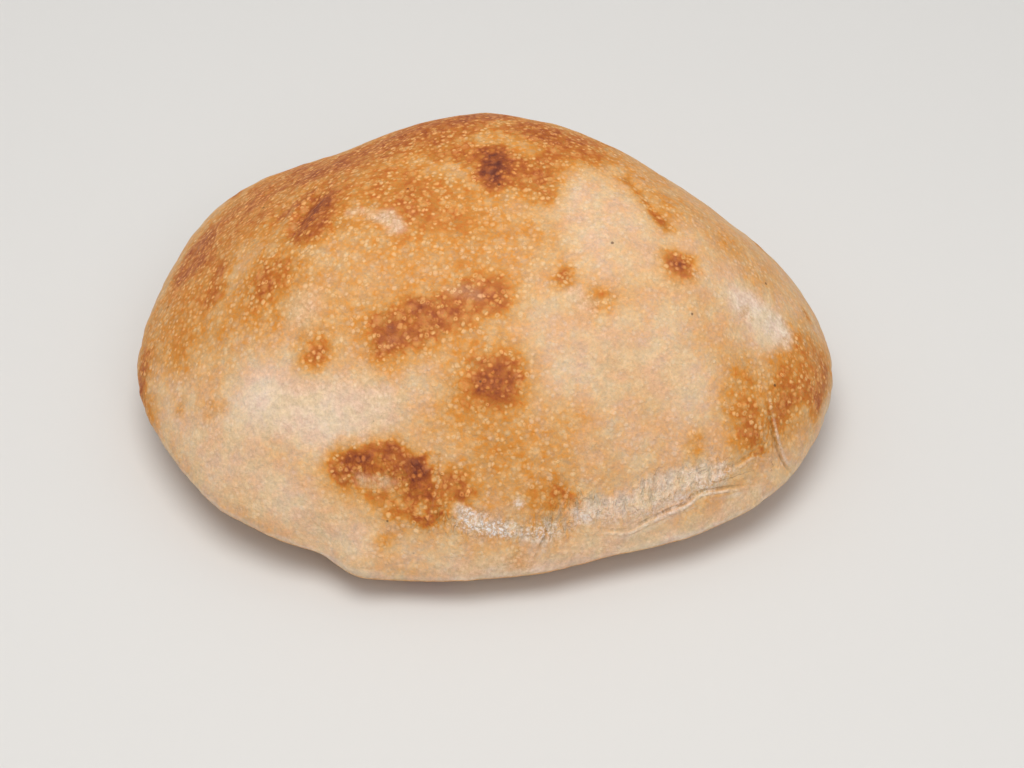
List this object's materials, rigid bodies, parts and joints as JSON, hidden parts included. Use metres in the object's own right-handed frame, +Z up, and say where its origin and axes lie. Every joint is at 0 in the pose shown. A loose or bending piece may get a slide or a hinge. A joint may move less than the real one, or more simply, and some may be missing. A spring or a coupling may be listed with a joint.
{
  "type": "pita bread",
  "caption": "Pocket flatbread ballooned in the oven, a hollow domed loaf with a soft rim, a crown behind the middle and a flat underside to rest on.",
  "frame": {"origin": "on the resting face of the underside, under the middle of the plan", "axes": "+X along the loaf's longest side, +Y towards the steep side nearest the crown, +Z up from the underside to the crown"},
  "size_m": [0.2254, 0.1756, 0.082],
  "materials": {
    "crust": "dry baked crust, pale cream to golden, with dark toasted patches and a little flour"
  },
  "bodies": {
    "root": {"pita_loaf": "crust"}
  },
  "joints": []
}
